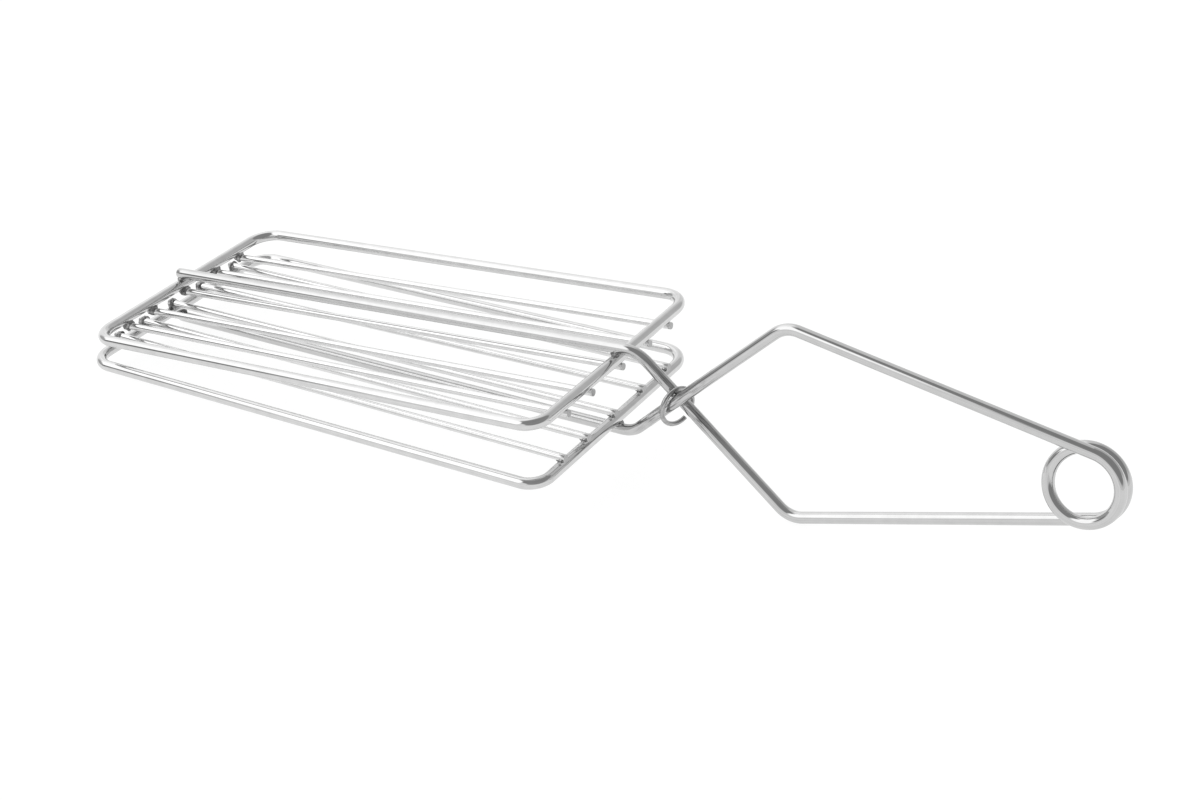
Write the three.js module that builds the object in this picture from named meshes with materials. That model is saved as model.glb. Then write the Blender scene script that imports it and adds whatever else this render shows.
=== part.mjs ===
// Self-closing wire tongs: two wire-grid jaws on a pair of crossed arms, shut by a coil spring.
// Millimetres. In the tool's own frame X runs from the jaw tips to the coil, Y runs across the
// jaws, Z is square to the plane midway between them, and the origin is at the jaws' middle.

import * as THREE from 'three';

const DEG = Math.PI / 180;

// Wire sizes.
const ARM_WIRE_R = 2;
const FRAME_WIRE_R = 2;
const GRID_WIRE_R = 1.3;
const RING_WIRE_R = 0.8;
const WELD_GAP = 0.3; // left between two wires that are welded, or between two ends that meet

// Jaws: each is a rounded rectangle of wire with five grid wires on its inner face.
const UPPER_JAW_LENGTH = 199.4; // between the centre lines of the end bars
const LOWER_JAW_LENGTH = 201.4;
const JAW_WIDTH = 94.4; // between the centre lines of the long sides
const JAW_CORNER_RADII = [9, 7, 10, 9]; // tip and handle end on the near side, then the far side
const JAW_HALF_GAP = 8.4; // from the middle plane to a frame's centre line, at the jaws' middle
const JAW_TAPER = 1.7 * DEG; // each jaw closes towards its tip by this much
const LOWER_JAW_SHIFT = -3.8; // the lower jaw is welded on this much nearer the tip
const GRID_OVERHANG = 1.5; // the grid wires run this far past the end bars' centre lines
// Where each grid wire crosses the bar at the tip end and the bar at the handle end.
const UPPER_GRID = [[-30.6, -31.6], [-17.8, -17.4], [-0.4, 0.9], [16.9, 17.8], [30.8, 31.4]];
const LOWER_GRID = [[-32.0, -33.0], [-19.1, -19.1], [-3.3, -2.4], [12.2, 15.4], [31.0, 31.4]];

// Arms: each runs along the back of its jaw, crosses the other arm and ends at the coil.
const ARM_OVERHANG = 0.2; // past the centre line of the tip bar
const UPPER_BEND_X = 108.1;
const LOWER_BEND_X = 102.6;
const JAW_BEND_R = 11;
const CROSSING_X = 121.7;
const CROSSING_OFFSET = 2.3; // each arm's centre line to the handle's middle plane, where they cross
const CROSSING_BEND_R = 8;
const HANDLE_BEND_R = 10;

// Handle: a kite-shaped loop in a plane of its own, which leans out of square with the jaws.
// X and Z below are measured in that plane, from the crossing.
const HANDLE_LEAN = -15.2 * DEG;
const UPPER_HANDLE_BEND = [38.7, 32.1];
const LOWER_HANDLE_BEND = [41.7, -31.4];
const COIL_CENTRE = [136.5, 1.1];
const COIL_R = 11.1;
const COIL_PITCH = 4.3;
const COIL_WHOLE_TURNS = 1; // besides the part turn between the two handle wires

// Ring: hangs round both arms at the crossing. Its plane is nearly square to X.
const RING_R = 6.3;
const RING_OFFSET = [-0.4, -0.1, -1.9]; // from the crossing
const RING_TURN = -21 * DEG; // of its axis, from X towards -Y
const RING_TILT = 4 * DEG; // of its axis, downwards
const RING_SPAN = 340 * DEG; // it is bent from a straight wire and its ends don't meet
const RING_MOUTH = 308 * DEG; // where round the ring its open ends are

// How the tool lies on a bench: on the lower arm's tip and the lower handle's bend.
const BENCH_PITCH = 4.35 * DEG;

// Fineness of the sections and bends.
const SIDES = 12;
const THIN_SIDES = 8;
const BEND_STEP = 15 * DEG;
const RING_STEP = 20 * DEG;

const STEEL = { color: 0xc9cbcc, roughness: 0.18, metalness: 1 };
const DARK_STEEL = { color: 0xa9abad, roughness: 0.25, metalness: 1 };

/** A wire's centre line, with a section only where the wire starts, bends or ends. */
class WirePath extends THREE.Curve {
  constructor(stations) {
    super();
    this.stations = stations;
    this.steps = stations.length - 1;
  }

  station(u) {
    return this.stations[Math.round(u * this.steps)];
  }

  getPointAt(u, target = new THREE.Vector3()) {
    return target.copy(this.station(u).point);
  }

  getTangentAt(u, target = new THREE.Vector3()) {
    return target.copy(this.station(u).tangent);
  }
}

const vector = ([x, y, z]) => new THREE.Vector3(x, y, z);
const direction = (from, to) => to.clone().sub(from).normalize();

/** The sections round one bend, from the end of one straight run to the start of the next. */
function bendStations(before, corner, after, radius) {
  const inward = direction(before, corner);
  const turn = inward.angleTo(direction(corner, after));
  const axis = inward.clone().cross(direction(corner, after)).normalize();
  const start = corner.clone().addScaledVector(inward, -radius * Math.tan(turn / 2));
  const centre = start.clone().addScaledVector(axis.clone().cross(inward), radius);
  const steps = Math.ceil(turn / BEND_STEP);
  return Array.from({ length: steps + 1 }, (_, step) => {
    const angle = (turn * step) / steps;
    return {
      point: start.clone().sub(centre).applyAxisAngle(axis, angle).add(centre),
      tangent: inward.clone().applyAxisAngle(axis, angle),
    };
  });
}

/** A wire from the first corner to the last, rounded at each one between. */
function openWire(corners, radii) {
  const last = corners.length - 1;
  const bends = radii.flatMap((radius, i) =>
    bendStations(corners[i], corners[i + 1], corners[i + 2], radius));
  return new WirePath([
    { point: corners[0], tangent: direction(corners[0], corners[1]) },
    ...bends,
    { point: corners[last], tangent: direction(corners[last - 1], corners[last]) },
  ]);
}

/** A wire through all the corners and back to where it began. */
function closedWire(corners, radii) {
  const count = corners.length;
  const stations = corners.flatMap((corner, i) =>
    bendStations(corners[(i + count - 1) % count], corner, corners[(i + 1) % count], radii[i]));
  return new WirePath([...stations, stations[0]]);
}

/** A regular polygon whose flats, not its corners, lie on the round wire it stands for. */
function wireSection(radius, sides) {
  const cornerR = radius / Math.cos(Math.PI / sides);
  const points = Array.from({ length: sides }, (_, i) => {
    const angle = ((i + 0.5) * 2 * Math.PI) / sides;
    return new THREE.Vector2(cornerR * Math.cos(angle), cornerR * Math.sin(angle));
  });
  return new THREE.Shape(points);
}

function openWireGeometry(path, radius, sides) {
  const options = { steps: path.steps, extrudePath: path, bevelEnabled: false };
  return new THREE.ExtrudeGeometry(wireSection(radius, sides), options);
}

function closedWireGeometry(path, radius, sides) {
  const cornerR = radius / Math.cos(Math.PI / sides);
  return new THREE.TubeGeometry(path, path.steps, cornerR, sides, true);
}

function part(name, geometry, finish) {
  const mesh = new THREE.Mesh(geometry, new THREE.MeshStandardMaterial(finish));
  mesh.name = name;
  return mesh;
}

/** One jaw. side is 1 for the upper and -1 for the lower; its own Z = 0 is its frame's plane. */
function makeJaw(label, side, length, grid) {
  const [halfLength, halfWidth] = [length / 2, JAW_WIDTH / 2];
  const corners = [[-1, -1], [1, -1], [1, 1], [-1, 1]].map(([x, y]) =>
    vector([x * halfLength, y * halfWidth, 0]));
  const frame = closedWireGeometry(closedWire(corners, JAW_CORNER_RADII), FRAME_WIRE_R, SIDES);
  const jaw = new THREE.Group();
  jaw.add(part(`${label}_jaw_frame`, frame, STEEL));

  const gridZ = -side * (FRAME_WIRE_R + WELD_GAP + GRID_WIRE_R);
  const reach = halfLength + GRID_OVERHANG;
  grid.forEach(([tipY, handleY], i) => {
    const path = openWire([vector([-reach, tipY, gridZ]), vector([reach, handleY, gridZ])], []);
    const wire = openWireGeometry(path, GRID_WIRE_R, THIN_SIDES);
    jaw.add(part(`${label}_grid_wire_${i + 1}`, wire, STEEL));
  });

  jaw.rotation.y = side * -JAW_TAPER;
  jaw.position.set(side < 0 ? LOWER_JAW_SHIFT : 0, 0, side * JAW_HALF_GAP);
  jaw.updateMatrix();
  return jaw;
}

/** A point in the handle's plane, or beside it, as a point in the tool's frame. */
function onHandle([x, z], beside) {
  return new THREE.Vector3(x, beside, z)
    .applyAxisAngle(new THREE.Vector3(1, 0, 0), HANDLE_LEAN)
    .add(new THREE.Vector3(CROSSING_X, 0, 0));
}

/** The angle round the coil where a straight wire from the handle's bend runs onto it. */
function tangentAngle(bend, side) {
  const [dx, dz] = [bend[0] - COIL_CENTRE[0], bend[1] - COIL_CENTRE[1]];
  return Math.atan2(dz, dx) - side * Math.acos(COIL_R / Math.hypot(dx, dz));
}

function onCoil(angle) {
  return [COIL_CENTRE[0] + COIL_R * Math.cos(angle), COIL_CENTRE[1] + COIL_R * Math.sin(angle)];
}

// The coil winds from the upper handle wire, over the far side and round to the lower one.
const COIL_START = tangentAngle(UPPER_HANDLE_BEND, 1);
const COIL_END = tangentAngle(LOWER_HANDLE_BEND, -1);
const PART_TURN = (COIL_START - COIL_END + 4 * Math.PI) % (2 * Math.PI);
const COIL_SWEEP = PART_TURN + COIL_WHOLE_TURNS * 2 * Math.PI;
const COIL_HALF_DEPTH = (COIL_PITCH * COIL_SWEEP) / (4 * Math.PI);

/** How far beside the handle's plane an arm is, on its way from the crossing to the coil. */
function besideAt(x, coilX, side) {
  return side * THREE.MathUtils.lerp(CROSSING_OFFSET, COIL_HALF_DEPTH, x / coilX);
}

/** One arm. jawSide says whose jaw it carries; it crosses over to the other side's handle. */
function makeArm(label, jaw, jawSide, jawLength, bendX) {
  const handleBend = jawSide > 0 ? LOWER_HANDLE_BEND : UPPER_HANDLE_BEND;
  const coilPoint = onCoil(jawSide > 0 ? COIL_END : COIL_START);
  const backZ = jawSide * (FRAME_WIRE_R + WELD_GAP + ARM_WIRE_R);
  const tip = jaw.localToWorld(vector([-jawLength / 2 - ARM_OVERHANG, 0, backZ]));
  const localBendX = (bendX - jaw.position.x) / Math.cos(JAW_TAPER);
  const jawBend = jaw.localToWorld(vector([localBendX, 0, backZ]));
  const crossing = onHandle([0, 0], jawSide * CROSSING_OFFSET);
  const bend = onHandle(handleBend, besideAt(handleBend[0], coilPoint[0], jawSide));
  const coilEnd = onHandle(coilPoint, jawSide * COIL_HALF_DEPTH);
  const end = coilEnd.clone().addScaledVector(direction(bend, coilEnd), -WELD_GAP);
  const radii = [JAW_BEND_R, CROSSING_BEND_R, HANDLE_BEND_R];
  const path = openWire([tip, jawBend, crossing, bend, end], radii);
  return part(`${label}_jaw_arm`, openWireGeometry(path, ARM_WIRE_R, SIDES), STEEL);
}

function makeCoil() {
  const steps = Math.ceil(COIL_SWEEP / BEND_STEP);
  const lead = (2 * COIL_HALF_DEPTH) / COIL_SWEEP;
  const stations = Array.from({ length: steps + 1 }, (_, step) => {
    const turned = (COIL_SWEEP * step) / steps;
    const angle = COIL_START - turned;
    const point = onHandle(onCoil(angle), -COIL_HALF_DEPTH + lead * turned);
    const tangent = new THREE.Vector3(COIL_R * Math.sin(angle), lead, -COIL_R * Math.cos(angle))
      .applyAxisAngle(new THREE.Vector3(1, 0, 0), HANDLE_LEAN)
      .normalize();
    return { point, tangent };
  });
  return part('spring_coil', openWireGeometry(new WirePath(stations), ARM_WIRE_R, SIDES), STEEL);
}

function makeRing() {
  const steps = Math.round(RING_SPAN / RING_STEP);
  const stations = Array.from({ length: steps + 1 }, (_, step) => {
    const angle = RING_MOUTH + (2 * Math.PI - RING_SPAN) / 2 + (RING_SPAN * step) / steps;
    const [c, s] = [Math.cos(angle), Math.sin(angle)];
    return { point: vector([0, RING_R * c, RING_R * s]), tangent: vector([0, -s, c]) };
  });
  const geometry = openWireGeometry(new WirePath(stations), RING_WIRE_R, THIN_SIDES);
  const ring = part('crossing_ring', geometry, DARK_STEEL);
  ring.rotation.set(0, RING_TILT, RING_TURN, 'ZYX');
  ring.position.set(CROSSING_X + RING_OFFSET[0], RING_OFFSET[1], RING_OFFSET[2]);
  return ring;
}

/** The whole tool, pitched to lie on a bench at Z = 0 and centred on it. */
function makeTongs() {
  const tool = new THREE.Group();
  const upperJaw = makeJaw('upper', 1, UPPER_JAW_LENGTH, UPPER_GRID);
  const lowerJaw = makeJaw('lower', -1, LOWER_JAW_LENGTH, LOWER_GRID);
  tool.add(upperJaw, lowerJaw);
  tool.add(makeArm('upper', upperJaw, 1, UPPER_JAW_LENGTH, UPPER_BEND_X));
  tool.add(makeArm('lower', lowerJaw, -1, LOWER_JAW_LENGTH, LOWER_BEND_X));
  tool.add(makeCoil(), makeRing());
  tool.rotation.y = -BENCH_PITCH;

  const tongs = new THREE.Group();
  tongs.add(tool);
  const box = new THREE.Box3().setFromObject(tongs, true);
  const centre = box.getCenter(new THREE.Vector3());
  tool.position.set(-centre.x, -centre.y, -box.min.z);
  return tongs;
}

export default makeTongs();
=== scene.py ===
"""Self-closing wire tongs: the looks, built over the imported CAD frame.

Lengths are in millimetres until a mesh is made, which turns them into metres. Like the CAD, the
wires are laid out in the tool's own frame: X from the jaw tips to the coil, Y across the jaws,
Z square to the plane midway between them. Tool.to_row() then pitches them onto the bench.
"""
import math

import bmesh
import bpy
from mathutils import Matrix, Quaternion, Vector, noise

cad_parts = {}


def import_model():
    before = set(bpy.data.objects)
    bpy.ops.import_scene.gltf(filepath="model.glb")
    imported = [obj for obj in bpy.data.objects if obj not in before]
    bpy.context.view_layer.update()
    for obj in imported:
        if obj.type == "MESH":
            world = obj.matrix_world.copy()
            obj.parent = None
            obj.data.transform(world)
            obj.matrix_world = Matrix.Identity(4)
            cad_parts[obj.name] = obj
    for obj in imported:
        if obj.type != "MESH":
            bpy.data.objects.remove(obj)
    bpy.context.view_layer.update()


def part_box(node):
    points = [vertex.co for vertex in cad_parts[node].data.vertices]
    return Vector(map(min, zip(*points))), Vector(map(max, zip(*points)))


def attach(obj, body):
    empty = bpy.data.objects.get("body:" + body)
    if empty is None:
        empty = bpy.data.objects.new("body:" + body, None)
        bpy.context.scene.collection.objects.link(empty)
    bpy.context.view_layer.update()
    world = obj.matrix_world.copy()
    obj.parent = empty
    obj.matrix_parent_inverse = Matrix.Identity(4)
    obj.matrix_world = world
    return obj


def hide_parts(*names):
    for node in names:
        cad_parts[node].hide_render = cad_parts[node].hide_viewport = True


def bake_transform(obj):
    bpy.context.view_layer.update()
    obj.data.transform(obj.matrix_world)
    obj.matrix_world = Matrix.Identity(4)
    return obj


MM = 0.001

# Wire sizes.
ARM_WIRE_R = 1.97
FRAME_WIRE_R = 2.0
GRID_WIRE_R = 1.3
RING_WIRE_R = 0.8
WELD_GAP = 0.3  # the CAD keeps this between welded wires; here the arms keep it, and the grid wires are pressed into the frame
SET_DOWN = 0.15  # how far a welded wire is sunk into the one under it

# Jaws.
UPPER_JAW_LENGTH = 199.4
LOWER_JAW_LENGTH = 201.4
JAW_WIDTH = 94.4
JAW_CORNER_RADII = (9.0, 7.0, 10.0, 9.0)  # tip and handle end on the near side, then the far side
JAW_HALF_GAP = 8.4
JAW_TAPER = math.radians(1.7)
LOWER_JAW_SHIFT = -3.8
GRID_OVERHANG = 1.5
UPPER_GRID = [(-30.6, -31.6), (-17.8, -17.4), (-0.4, 0.9), (16.9, 17.8), (30.8, 31.4)]
LOWER_GRID = [(-32.0, -33.0), (-19.1, -19.1), (-3.3, -2.4), (12.2, 15.4), (31.0, 31.4)]

# Arms.
ARM_OVERHANG = 0.2
UPPER_BEND_X = 108.1
LOWER_BEND_X = 102.6
JAW_BEND_R = 11.0
CROSSING_X = 121.7
CROSSING_OFFSET = 2.3
CROSSING_BEND_R = 8.0
HANDLE_BEND_R = 10.0

# Handle and coil, in the handle's own leaning plane.
HANDLE_LEAN = math.radians(-15.2)
UPPER_HANDLE_BEND = (38.7, 32.1)
LOWER_HANDLE_BEND = (41.7, -31.4)
COIL_CENTRE = (136.5, 1.1)
COIL_R = 11.1
COIL_PITCH = 4.3
COIL_WHOLE_TURNS = 1

# Welds: half-sizes of each lump along the jaw, across it and square to it, and how far and how
# strongly each has tarnished the wires round it.
GRID_WELD = {"tip": (1.9, 2.3, 2.3), "handle": (1.1, 1.0, 0.5)}
GRID_WELD_PLACE = {"tip": (-0.35, 2.6), "handle": (-1.1, 1.9)}  # past the bar, and inwards
ARM_WELD = (2.0, 1.9, 1.1)
HEAT = {"tip": (9.0, 1.0), "handle": (4.5, 0.6)}
BAR_HEAT_REACH = 0.6  # the heavy bars are heated over less of their length than the grid wires
HEAT_FALLOFF = 1.3
WELD_LUMPS = ((1.3, 0.22), (3.5, 0.1))  # how fine each size of lump is, and its height
ARM_WELD_INSET = 0.5  # of the weld on the tip bar
TARNISH_DARK = 0.10
TARNISH_LIGHT = 0.36
SCRATCH = (0.22, 0.22, 0.22, 1)
WEAR_REACH = 24.0  # how far from the crossing the ring and the arms have scratched each other

# Ring.
RING_R = 6.3
RING_OFFSET = (-0.4, -0.1, -1.9)
RING_TURN = math.radians(-21)
RING_TILT = math.radians(4)
RING_SPAN = math.radians(340)
RING_MOUTH = math.radians(308)

BENCH_PITCH = math.radians(4.35)

# Floor, in metres, and how bright it is.
FLOOR_HALF_SIZE = 40
FLOOR_GREY = 0.2
FLOOR_GLOW = 0.88

# Fineness.
WIRE_SIDES = 28
GRID_SIDES = 20
BEND_STEP = math.radians(3)
STRAIGHT_STEP = 2.5

# Camera, in the row frame.
CAMERA_PLACE = (312.5, -442.6, 353.3)
CAMERA_HEADING = math.radians(124.49)  # of its view, from +X towards +Y
CAMERA_DIP = math.radians(31.80)
CAMERA_ROLL = math.radians(-3.45)
CAMERA_LENS = 56.65


# ---------------------------------------------------------------- wire centre lines


class Station:
    """A point on a wire's centre line and the way the wire runs there."""

    def __init__(self, point, tangent):
        self.point = Vector(point)
        self.tangent = Vector(tangent).normalized()


def straight(start, end):
    """Stations from start to end, both included."""
    run = end - start
    steps = max(1, math.ceil(run.length / STRAIGHT_STEP))
    return [Station(start + run * (i / steps), run) for i in range(steps + 1)]


def bend(before, corner, after, radius):
    inward, outward = (corner - before).normalized(), (after - corner).normalized()
    turn = inward.angle(outward)
    axis = inward.cross(outward).normalized()
    start = corner - inward * radius * math.tan(turn / 2)
    centre = start + axis.cross(inward) * radius
    steps = max(2, math.ceil(turn / BEND_STEP))
    stations = []
    for i in range(steps + 1):
        turned = Quaternion(axis, turn * i / steps)
        stations.append(Station(centre + turned @ (start - centre), turned @ inward))
    return stations


def joined(*runs):
    """One list of stations from several, with the doubled ones at their joins left out."""
    stations = []
    for run in runs:
        for station in run:
            if not stations or (station.point - stations[-1].point).length > 1e-4:
                stations.append(station)
    return stations


def bent_wire(corners, radii):
    """A wire from the first corner to the last, rounded at each one between."""
    bends = [bend(*corners[i:i + 3], radius) for i, radius in enumerate(radii)]
    ends = [corners[0]] + [b[-1].point for b in bends]
    starts = [b[0].point for b in bends] + [corners[-1]]
    runs = [straight(end, start) for end, start in zip(ends, starts)]
    pieces = [piece for pair in zip(runs, bends) for piece in pair] + [runs[-1]]
    return joined(*pieces)


def closed_wire(corners, radii):
    """A loop through all the corners. Its last station is its first again."""
    count = len(corners)
    bends = [bend(corners[i - 1], corners[i], corners[(i + 1) % count], radii[i])
             for i in range(count)]
    pieces = []
    for this, following in zip(bends, bends[1:] + bends[:1]):
        pieces += [this, straight(this[-1].point, following[0].point)]
    return joined(*pieces)


# ---------------------------------------------------------------- the tool's layout


class Tool:
    """Where the tool's own frame lies in the row frame, found from a node that is centred in it."""

    def __init__(self):
        low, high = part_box("upper_jaw_frame")
        self.turn = Matrix.Rotation(-BENCH_PITCH, 3, "Y")
        centre = (low + high) / 2 / MM
        self.place = centre - self.turn @ Vector((0, 0, JAW_HALF_GAP))

    def to_row(self, point):
        return self.turn @ point + self.place


class Jaw:
    """side is 1 for the upper jaw and -1 for the lower. Its own Z = 0 is its frame's plane."""

    def __init__(self, label, side, length, grid):
        self.label, self.side, self.half_length, self.grid = label, side, length / 2, grid
        self.turn = Matrix.Rotation(side * -JAW_TAPER, 3, "Y")
        shift = LOWER_JAW_SHIFT if side < 0 else 0
        self.place = Vector((shift, 0, side * JAW_HALF_GAP))

    def to_tool(self, point):
        return self.turn @ Vector(point) + self.place

    def local_x(self, tool_x):
        return (tool_x - self.place.x) / math.cos(JAW_TAPER)


def on_handle(point, beside):
    lean = Matrix.Rotation(HANDLE_LEAN, 3, "X")
    return lean @ Vector((point[0], beside, point[1])) + Vector((CROSSING_X, 0, 0))


def tangent_angle(corner, side):
    dx, dz = corner[0] - COIL_CENTRE[0], corner[1] - COIL_CENTRE[1]
    return math.atan2(dz, dx) - side * math.acos(COIL_R / math.hypot(dx, dz))


def on_coil(angle):
    return (COIL_CENTRE[0] + COIL_R * math.cos(angle), COIL_CENTRE[1] + COIL_R * math.sin(angle))


COIL_START = tangent_angle(UPPER_HANDLE_BEND, 1)
COIL_END = tangent_angle(LOWER_HANDLE_BEND, -1)
COIL_SWEEP = (COIL_START - COIL_END) % (2 * math.pi) + COIL_WHOLE_TURNS * 2 * math.pi
COIL_HALF_DEPTH = COIL_PITCH * COIL_SWEEP / (4 * math.pi)


def arm_stations(jaw, bend_x):
    """From the jaw's tip to the coil."""
    side = jaw.side
    handle_bend = LOWER_HANDLE_BEND if side > 0 else UPPER_HANDLE_BEND
    coil_point = on_coil(COIL_END if side > 0 else COIL_START)
    back = side * (FRAME_WIRE_R + WELD_GAP + ARM_WIRE_R)
    share = handle_bend[0] / coil_point[0]
    beside = CROSSING_OFFSET + (COIL_HALF_DEPTH - CROSSING_OFFSET) * share
    corners = [
        jaw.to_tool((-jaw.half_length - ARM_OVERHANG, 0, back)),
        jaw.to_tool((jaw.local_x(bend_x), 0, back)),
        on_handle((0, 0), side * CROSSING_OFFSET),
        on_handle(handle_bend, side * beside),
        on_handle(coil_point, side * COIL_HALF_DEPTH),
    ]
    return bent_wire(corners, [JAW_BEND_R, CROSSING_BEND_R, HANDLE_BEND_R])


def coil_stations():
    steps = math.ceil(COIL_SWEEP / BEND_STEP)
    lead = 2 * COIL_HALF_DEPTH / COIL_SWEEP
    lean = Matrix.Rotation(HANDLE_LEAN, 3, "X")
    stations = []
    for i in range(steps + 1):
        turned = COIL_SWEEP * i / steps
        angle = COIL_START - turned
        point = on_handle(on_coil(angle), -COIL_HALF_DEPTH + lead * turned)
        along = Vector((COIL_R * math.sin(angle), lead, -COIL_R * math.cos(angle)))
        stations.append(Station(point, lean @ along))
    return stations


def ring_stations():
    turn = Matrix.Rotation(RING_TURN, 3, "Z") @ Matrix.Rotation(RING_TILT, 3, "Y")
    centre = Vector((CROSSING_X, 0, 0)) + Vector(RING_OFFSET)
    steps = math.ceil(RING_SPAN / (2 * BEND_STEP))
    stations = []
    for i in range(steps + 1):
        angle = RING_MOUTH + (2 * math.pi - RING_SPAN) / 2 + RING_SPAN * i / steps
        c, s = math.cos(angle), math.sin(angle)
        stations.append(Station(turn @ Vector((0, RING_R * c, RING_R * s)) + centre,
                                turn @ Vector((0, -s, c))))
    return stations


# ---------------------------------------------------------------- meshes


def carried_sideways(stations):
    """A direction square to the wire at each station, with no twist along the wire."""
    first = stations[0].tangent
    aside = first.orthogonal().normalized()
    directions, previous = [aside], first
    for station in stations[1:]:
        aside = (previous.rotation_difference(station.tangent) @ aside)
        aside = (aside - station.tangent * aside.dot(station.tangent)).normalized()
        directions.append(aside)
        previous = station.tangent
    return directions


CROSSING = Vector((CROSSING_X, 0, 0))


class WireMesh:
    """Builds one wire's mesh in the row frame. Each point keeps three attributes: where it is on
    the wire (its side's cosine and sine, and its distance along in wire radii), how far a weld
    has heated it, and how far the ring has worn it."""

    def __init__(self, tool, radius, sides, hot_spots=()):
        self.tool, self.radius, self.sides, self.hot_spots = tool, radius, sides, hot_spots
        self.points, self.places, self.heats, self.wears, self.faces = [], [], [], [], []

    def heat(self, point):
        """How far the steel is darkened by a weld nearby, from 0 to 1."""
        heats = [strength * (1 - min(1, (point - spot).length / reach)) ** HEAT_FALLOFF
                 for spot, reach, strength in self.hot_spots]
        return max(heats, default=0)

    def ring(self, station, aside, along, radius):
        first = len(self.points)
        beside = station.tangent.cross(aside)
        for i in range(self.sides):
            angle = 2 * math.pi * i / self.sides
            c, s = math.cos(angle), math.sin(angle)
            point = station.point + (aside * c + beside * s) * radius
            self.points.append(self.tool.to_row(point) * MM)
            self.places.append((c, s, along / self.radius))
            self.heats.append(self.heat(point))
            self.wears.append(max(0, 1 - (point - CROSSING).length / WEAR_REACH))
        return first

    def band(self, first, second):
        for i in range(self.sides):
            j = (i + 1) % self.sides
            self.faces.append((first + i, first + j, second + j, second + i))

    def cap(self, station, aside, along, last_ring, outward):
        """A sheared end: a small rounded edge, then a flat face."""
        chamfer = 0.06 * self.radius
        for inset, step in ((0.4, 0.75), (1.0, 1.0)):
            moved = Station(station.point + outward * chamfer * step, station.tangent)
            new_ring = self.ring(moved, aside, along, self.radius - chamfer * inset)
            self.band(*((last_ring, new_ring) if outward.dot(station.tangent) > 0
                        else (new_ring, last_ring)))
            last_ring = new_ring
        rim = list(range(last_ring, last_ring + self.sides))
        self.faces.append(tuple(rim if outward.dot(station.tangent) > 0 else rim[::-1]))

    def object(self, name):
        mesh = bpy.data.meshes.new(name)
        mesh.from_pydata(self.points, [], self.faces)
        place = mesh.attributes.new("wire_place", "FLOAT_VECTOR", "POINT")
        place.data.foreach_set("vector", [value for row in self.places for value in row])
        for attribute, values in (("heat", self.heats), ("wear", self.wears)):
            mesh.attributes.new(attribute, "FLOAT", "POINT").data.foreach_set("value", values)
        for polygon in mesh.polygons:
            polygon.use_smooth = len(polygon.vertices) == 4
        mesh.update()
        obj = bpy.data.objects.new(name, mesh)
        bpy.context.scene.collection.objects.link(obj)
        return obj


def wire_object(tool, name, stations, radius, sides, start_cap=True, end_cap=True,
                directions=None, begins_at=0.0, hot_spots=()):
    """A wire along the stations. Ends with no cap meet another piece."""
    directions = directions or carried_sideways(stations)
    mesh = WireMesh(tool, radius, sides, hot_spots)
    along, previous, rings = begins_at, stations[0].point, []
    for station, aside in zip(stations, directions):
        along += (station.point - previous).length
        previous = station.point
        rings.append(mesh.ring(station, aside, along, radius))
    for first, second in zip(rings, rings[1:]):
        mesh.band(first, second)
    if start_cap:
        mesh.cap(stations[0], directions[0], begins_at, rings[0], -stations[0].tangent)
    if end_cap:
        mesh.cap(stations[-1], directions[-1], along, rings[-1], stations[-1].tangent)
    return mesh.object(name)


def loop_object(tool, name, stations, radius, sides, hot_spots):
    """A closed wire whose last station is its first again."""
    directions = carried_sideways(stations)
    mesh = WireMesh(tool, radius, sides, hot_spots)
    along, previous, rings = 0.0, stations[0].point, []
    for station, aside in zip(stations[:-1], directions):
        along += (station.point - previous).length
        previous = station.point
        rings.append(mesh.ring(station, aside, along, radius))
    for first, second in zip(rings, rings[1:]):
        mesh.band(first, second)
    mesh.band(rings[-1], rings[0])
    return mesh.object(name)


def weld_object(tool, name, centre, axes, half_sizes, seed):
    """A lump of melted metal round a joint: an uneven ball, stretched along the three axes. The
    seed makes each lump different, and the same on every run."""
    mesh = bpy.data.meshes.new(name)
    shape = bmesh.new()
    bmesh.ops.create_icosphere(shape, subdivisions=4, radius=1)
    offset = Vector((seed * 7.3, seed * 3.1, seed * 5.7))
    for vert in shape.verts:
        lumps = sum(noise.noise(vert.co * fineness + offset) * height
                    for fineness, height in WELD_LUMPS)
        swollen = vert.co * (1 + lumps)
        point = centre + sum((axis * size * part for axis, size, part
                              in zip(axes, half_sizes, swollen)), Vector())
        vert.co = tool.to_row(point) * MM
    shape.normal_update()
    bmesh.ops.recalc_face_normals(shape, faces=shape.faces)
    shape.to_mesh(mesh)
    shape.free()
    for polygon in mesh.polygons:
        polygon.use_smooth = True
    obj = bpy.data.objects.new(name, mesh)
    bpy.context.scene.collection.objects.link(obj)
    return obj


# ---------------------------------------------------------------- materials


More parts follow.
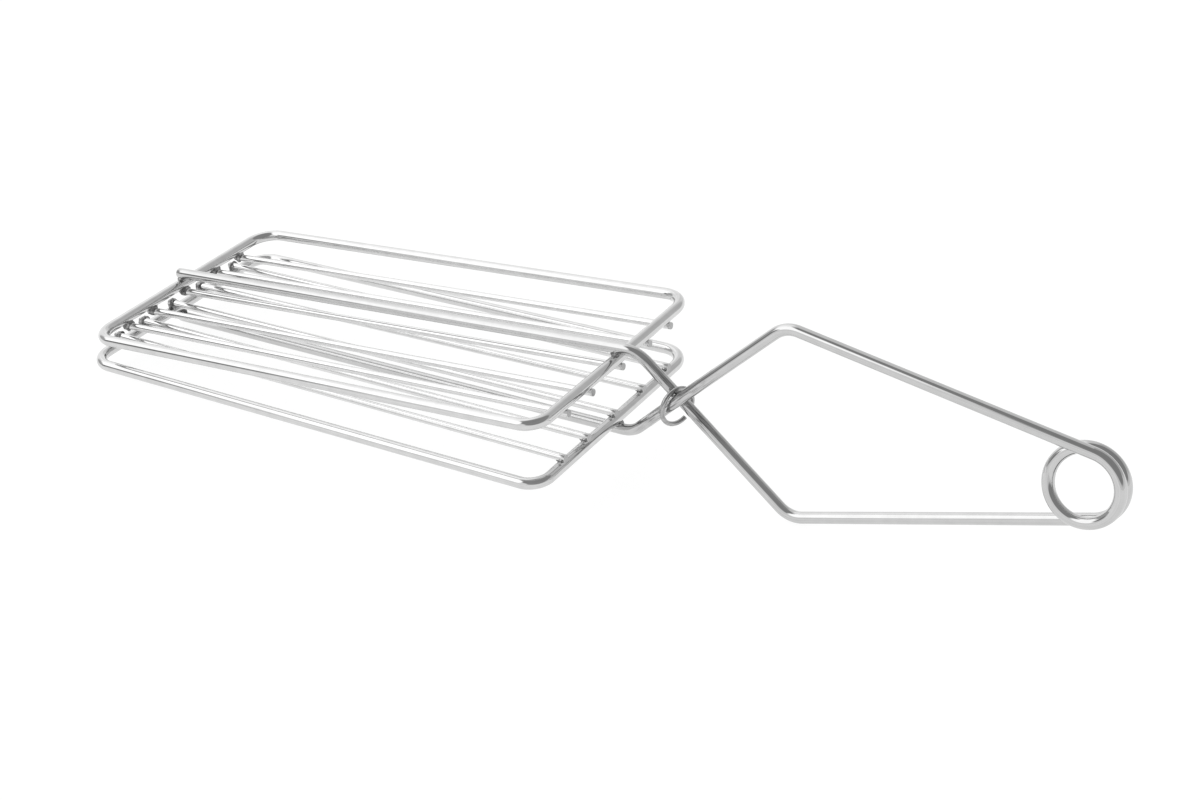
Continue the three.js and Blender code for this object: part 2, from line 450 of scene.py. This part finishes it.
class Nodes:
    """Short ways to add and join the nodes of one tree."""

    def __init__(self, tree):
        self.tree = tree
        tree.nodes.clear()

    def add(self, kind, **settings):
        node = self.tree.nodes.new(kind)
        for key, value in settings.items():
            setattr(node, key, value)
        return node

    def feed(self, socket, value):
        if isinstance(value, bpy.types.NodeSocket):
            self.tree.links.new(value, socket)
        else:
            socket.default_value = value

    def attribute(self, name, output="Fac"):
        return self.add("ShaderNodeAttribute", attribute_name=name).outputs[output]

    def math(self, operation, *values, clamp=False):
        node = self.add("ShaderNodeMath", operation=operation, use_clamp=clamp)
        for socket, value in zip(node.inputs, values):
            self.feed(socket, value)
        return node.outputs[0]

    def stretched(self, vector, scale):
        node = self.add("ShaderNodeVectorMath", operation="MULTIPLY")
        self.feed(node.inputs[0], vector)
        node.inputs[1].default_value = scale
        return node.outputs[0]

    def noise(self, vector, scale, detail=3.0, roughness=0.5):
        node = self.add("ShaderNodeTexNoise")
        self.feed(node.inputs["Vector"], vector)
        node.inputs["Scale"].default_value = scale
        node.inputs["Detail"].default_value = detail
        node.inputs["Roughness"].default_value = roughness
        return node.outputs["Fac"]

    def ramp(self, value, *stops):
        node = self.add("ShaderNodeValToRGB")
        elements = node.color_ramp.elements
        while len(elements) < len(stops):
            elements.new(0.5)
        for element, (position, grey) in zip(elements, stops):
            element.position = position
            element.color = (grey, grey, grey, 1)
        self.feed(node.inputs[0], value)
        return node.outputs[0]

    def mixed(self, share, first, second):
        node = self.add("ShaderNodeMix", data_type="RGBA")
        for socket, value in zip((node.inputs[0], node.inputs[6], node.inputs[7]),
                                 (share, first, second)):
            self.feed(socket, value)
        return node.outputs[2]

    def spread(self, value, low, high):
        node = self.add("ShaderNodeMapRange")
        self.feed(node.inputs["Value"], value)
        node.inputs["To Min"].default_value = low
        node.inputs["To Max"].default_value = high
        return node.outputs["Result"]


def new_material(name):
    material = bpy.data.materials.new(name)
    material.use_nodes = True
    return material, Nodes(material.node_tree)


def wire_material(name, light, dark, low_roughness, high_roughness, grooves):
    """Bright drawn wire: fine streaks along it from the die, faint blotches from handling, a
    dull grey tarnish where a weld heated it, and scratches along it where it rubs."""
    material, nodes = new_material(name)
    place = nodes.attribute("wire_place", "Vector")
    heat = nodes.attribute("heat")
    position = nodes.add("ShaderNodeTexCoord").outputs["Object"]
    drawn = nodes.noise(nodes.stretched(place, (2.2, 2.2, 0.03)), 2.0, 3.0)
    blotches = nodes.noise(position, 260.0, 3.0)
    mixed = nodes.math("ADD", nodes.math("MULTIPLY", drawn, 0.6),
                       nodes.math("MULTIPLY", blotches, 0.4))
    clean = nodes.ramp(mixed, (0.32, dark), (0.62, light))
    patchy = nodes.math("MULTIPLY", heat, nodes.spread(nodes.noise(position, 900.0), 0.5, 1.5),
                        clamp=True)
    tarnish = nodes.ramp(nodes.noise(position, 520.0), (0.35, TARNISH_DARK), (0.65, TARNISH_LIGHT))
    wear = nodes.attribute("wear")
    fine = nodes.noise(nodes.stretched(place, (5.0, 5.0, 0.16)), 2.0, 4.0)
    scratches = nodes.ramp(fine, (0.48, 0.0), (0.60, 1.0))
    scratched = nodes.math("MULTIPLY", nodes.math("MULTIPLY", wear, 1.8, clamp=True), scratches)
    worn = nodes.mixed(scratched, clean, SCRATCH)
    roughness = nodes.math("ADD", nodes.spread(mixed, high_roughness, low_roughness),
                           nodes.math("MULTIPLY", nodes.math("ADD", patchy, scratched), 0.16))
    bump = nodes.add("ShaderNodeBump")
    bump.inputs["Strength"].default_value = grooves
    bump.inputs["Distance"].default_value = 0.00003
    nodes.feed(bump.inputs["Height"], drawn)
    metal_output(nodes, nodes.mixed(patchy, worn, tarnish), roughness, bump)
    return material


def weld_material():
    """Melted and cooled steel: darker, rougher and pitted."""
    material, nodes = new_material("weld_steel")
    position = nodes.add("ShaderNodeTexCoord").outputs["Object"]
    patches = nodes.noise(position, 700.0, 4.0, 0.6)
    colour = nodes.ramp(patches, (0.35, 0.12), (0.5, 0.26), (0.68, 0.5))
    bump = nodes.add("ShaderNodeBump")
    bump.inputs["Strength"].default_value = 0.5
    bump.inputs["Distance"].default_value = 0.0002
    nodes.feed(bump.inputs["Height"], nodes.noise(position, 2400.0))
    metal_output(nodes, colour, nodes.spread(patches, 0.42, 0.2), bump)
    return material


def metal_output(nodes, colour, roughness, bump):
    shader = nodes.add("ShaderNodeBsdfPrincipled")
    shader.inputs["Metallic"].default_value = 1.0
    nodes.feed(shader.inputs["Base Color"], colour)
    nodes.feed(shader.inputs["Roughness"], roughness)
    nodes.feed(shader.inputs["Normal"], bump.outputs["Normal"])
    output = nodes.add("ShaderNodeOutputMaterial")
    nodes.feed(output.inputs["Surface"], shader.outputs["BSDF"])


# ---------------------------------------------------------------- the object


def finish_piece(piece, body, material, slot, *nodes):
    piece.data.materials.append(material)
    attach(piece, body)
    if nodes:
        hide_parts(*nodes)
    return piece


def build_jaw(tool, jaw, body, materials):
    half_length, half_width = jaw.half_length, JAW_WIDTH / 2
    joints = {}
    for i, places in enumerate(jaw.grid, 1):
        for end, y, outward in zip(("tip", "handle"), places, (-1, 1)):
            past, inward = GRID_WELD_PLACE[end]
            joints[i, end] = jaw.to_tool((outward * (half_length + past), y, -jaw.side * inward))
    hot_spots = [(point, *HEAT[end]) for (_, end), point in joints.items()]
    bar_spots = [(point, reach * BAR_HEAT_REACH, strength) for point, reach, strength in hot_spots]

    corners = [jaw.to_tool((x * half_length, y * half_width, 0))
               for x, y in ((-1, -1), (1, -1), (1, 1), (-1, 1))]
    name = f"{jaw.label}_jaw_frame"
    loop = loop_object(tool, f"{name}_wire", closed_wire(corners, JAW_CORNER_RADII),
                       FRAME_WIRE_R, WIRE_SIDES, bar_spots)
    finish_piece(loop, body, materials["frame"], "frame_wire", name)

    grid_z = -jaw.side * (FRAME_WIRE_R + GRID_WIRE_R - SET_DOWN)
    reach = half_length + GRID_OVERHANG
    for i, (tip_y, handle_y) in enumerate(jaw.grid, 1):
        name = f"{jaw.label}_grid_wire_{i}"
        ends = [jaw.to_tool((-reach, tip_y, grid_z)), jaw.to_tool((reach, handle_y, grid_z))]
        wire = wire_object(tool, f"{name}_fine", straight(*ends), GRID_WIRE_R, GRID_SIDES,
                           hot_spots=hot_spots)
        finish_piece(wire, body, materials["grid"], "grid_wire", name)
        wire.data.materials.append(materials["cut"])
        for polygon in wire.data.polygons:
            polygon.material_index = 1 if len(polygon.vertices) > 4 else 0
        for end in ("tip", "handle"):
            build_weld(tool, jaw, f"{name}_weld_{end}", joints[i, end], GRID_WELD[end], body,
                       materials, seed=i + 10 * (end == "tip") + 30 * jaw.side)


def build_weld(tool, jaw, name, centre, half_sizes, body, materials, seed):
    axes = [jaw.turn @ Vector(axis) for axis in ((1, 0, 0), (0, 1, 0), (0, 0, 1))]
    weld = weld_object(tool, name, centre, axes, half_sizes, seed)
    finish_piece(weld, body, materials["weld"], "frame_wire")


def build_spring_wire(tool, upper, lower, materials):
    """The one long wire: lower jaw's arm, coil, upper jaw's arm. It is cut into three pieces
    where the bodies change, and its streaks run on from one to the next."""
    first, coil = arm_stations(lower, LOWER_BEND_X), coil_stations()
    last = [Station(s.point, -s.tangent) for s in reversed(arm_stations(upper, UPPER_BEND_X))]
    whole = joined(first, coil, last)
    directions = carried_sideways(whole)
    distances = [0.0]
    for here, there in zip(whole, whole[1:]):
        distances.append(distances[-1] + (there.point - here.point).length)
    cut_a = len(first) - 1
    cut_b = len(joined(first, coil)) - 1
    pieces = (("lower_jaw_arm", 0, cut_a, True, False), ("spring_coil", cut_a, cut_b, False, False),
              ("upper_jaw_arm", cut_b, len(whole) - 1, False, True))
    for node, start, end, start_cap, end_cap in pieces:
        wire = wire_object(tool, f"{node}_wire", whole[start:end + 1], ARM_WIRE_R, WIRE_SIDES,
                           start_cap, end_cap, directions[start:end + 1], distances[start])
        wire.data.materials.append(materials["spring"])
        if node == "spring_coil":
            bent = [tool.to_row(on_handle(COIL_CENTRE, side * COIL_PITCH / 4)) * MM
                    for side in (-1, 1)]
            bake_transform(wire)
        else:
            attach(wire, node.replace("_arm", ""))
        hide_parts(node)


def build_object(tool):
    materials = {
        "frame": wire_material("frame_steel", 0.67, 0.57, 0.04, 0.10, 0.08),
        "grid": wire_material("grid_steel", 0.74, 0.64, 0.06, 0.13, 0.05),
        "spring": wire_material("spring_steel", 0.59, 0.52, 0.04, 0.09, 0.10),
        "ring": wire_material("ring_steel", 0.52, 0.42, 0.12, 0.22, 0.10),
        "cut": wire_material("cut_steel", 0.46, 0.34, 0.20, 0.32, 0.10),
        "weld": weld_material(),
    }
    upper = Jaw("upper", 1, UPPER_JAW_LENGTH, UPPER_GRID)
    lower = Jaw("lower", -1, LOWER_JAW_LENGTH, LOWER_GRID)
    for jaw, body in ((upper, "upper_jaw"), (lower, "lower_jaw")):
        build_jaw(tool, jaw, body, materials)
        for place, x in (("tip", -jaw.half_length + ARM_WELD_INSET), ("handle", jaw.half_length)):
            centre = jaw.to_tool((x, 0, jaw.side * (FRAME_WIRE_R + WELD_GAP / 2)))
            build_weld(tool, jaw, f"{jaw.label}_arm_weld_{place}", centre, ARM_WELD, body,
                       materials, seed=60 + x)
    build_spring_wire(tool, upper, lower, materials)
    ring = wire_object(tool, "crossing_ring_wire", ring_stations(), RING_WIRE_R, GRID_SIDES)
    finish_piece(ring, "ring", materials["ring"], "ring_wire", "crossing_ring")


# ---------------------------------------------------------------- floor, light and camera


def build_floor():
    mesh = bpy.data.meshes.new("floor")
    shape = bmesh.new()
    bmesh.ops.create_grid(shape, x_segments=1, y_segments=1, size=FLOOR_HALF_SIZE)
    shape.to_mesh(mesh)
    shape.free()
    floor = bpy.data.objects.new("floor", mesh)
    bpy.context.scene.collection.objects.link(floor)
    material, nodes = new_material("white_floor")
    shader = nodes.add("ShaderNodeBsdfPrincipled")
    shader.inputs["Base Color"].default_value = (FLOOR_GREY, FLOOR_GREY, FLOOR_GREY, 1)
    shader.inputs["Roughness"].default_value = 0.9
    shader.inputs["Emission Color"].default_value = (1, 1, 1, 1)
    shader.inputs["Emission Strength"].default_value = FLOOR_GLOW
    output = nodes.add("ShaderNodeOutputMaterial")
    nodes.feed(output.inputs["Surface"], shader.outputs["BSDF"])
    mesh.materials.append(material)


def heading(azimuth, elevation):
    """The direction at an azimuth from +X towards +Y and an elevation, in degrees."""
    a, e = math.radians(azimuth), math.radians(elevation)
    return Vector((math.cos(a) * math.cos(e), math.sin(a) * math.cos(e), math.sin(e)))


def build_studio():
    """The room's light by direction: soft boxes to the left and behind, a dark side and top."""
    world = bpy.data.worlds.new("studio")
    world.use_nodes = True
    bpy.context.scene.world = world
    nodes = Nodes(world.node_tree)
    toward = nodes.add("ShaderNodeTexCoord").outputs["Generated"]
    brightness = 1.1
    # All but the last patch were fitted by another program and rounded, not placed by hand. They
    # are to be replaced by hand-placed soft boxes: see report.md. Later patches cover earlier ones.
    # Azimuth, elevation, half-angle fully lit, half-angle where it ends, brightness:
    patches = [
        (52, 38, 30, 40, 0.78),
        (-37, 58, 46, 55, 0.41),
        (-102, 14, 16, 26, 1.25),
        (140, 4, 24, 34, 1.4),
        (-166, 12, 17, 25, 0.62),
        (153, 43, 13, 23, 1.65),
        (-173, 44, 13, 21, 1.95),
        (-139, 37, 18, 26, 2.15),
        (-144, 14, 6, 13, 0.32),
    ]
    for azimuth, elevation, inner, outer, value in patches:
        dot = nodes.add("ShaderNodeVectorMath", operation="DOT_PRODUCT")
        nodes.feed(dot.inputs[0], toward)
        dot.inputs[1].default_value = heading(azimuth, elevation)
        edge = nodes.add("ShaderNodeMapRange", interpolation_type="SMOOTHSTEP")
        nodes.feed(edge.inputs["Value"], dot.outputs["Value"])
        edge.inputs["From Min"].default_value = math.cos(math.radians(outer))
        edge.inputs["From Max"].default_value = math.cos(math.radians(inner))
        mix = nodes.add("ShaderNodeMix")
        nodes.feed(mix.inputs["Factor"], edge.outputs["Result"])
        nodes.feed(mix.inputs["A"], brightness)
        mix.inputs["B"].default_value = value
        brightness = mix.outputs["Result"]
    background = nodes.add("ShaderNodeBackground")
    nodes.feed(background.inputs["Strength"], brightness)
    output = nodes.add("ShaderNodeOutputWorld")
    nodes.feed(output.inputs["Surface"], background.outputs["Background"])


def build_camera():
    forward = heading(math.degrees(CAMERA_HEADING), -math.degrees(CAMERA_DIP))
    level = forward.cross(Vector((0, 0, 1))).normalized()
    above = level.cross(forward)
    right = level * math.cos(CAMERA_ROLL) + above * math.sin(CAMERA_ROLL)
    data = bpy.data.cameras.new("camera")
    data.lens = CAMERA_LENS
    data.sensor_width = 36
    data.sensor_fit = "HORIZONTAL"
    camera = bpy.data.objects.new("camera", data)
    bpy.context.scene.collection.objects.link(camera)
    turn = Matrix((right, right.cross(forward), -forward)).transposed().to_4x4()
    camera.matrix_world = Matrix.Translation(Vector(CAMERA_PLACE) * MM) @ turn
    bpy.context.scene.camera = camera


def main():
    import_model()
    build_object(Tool())
    build_floor()
    build_studio()
    build_camera()
    bpy.context.scene.view_settings.view_transform = "Standard"


main()
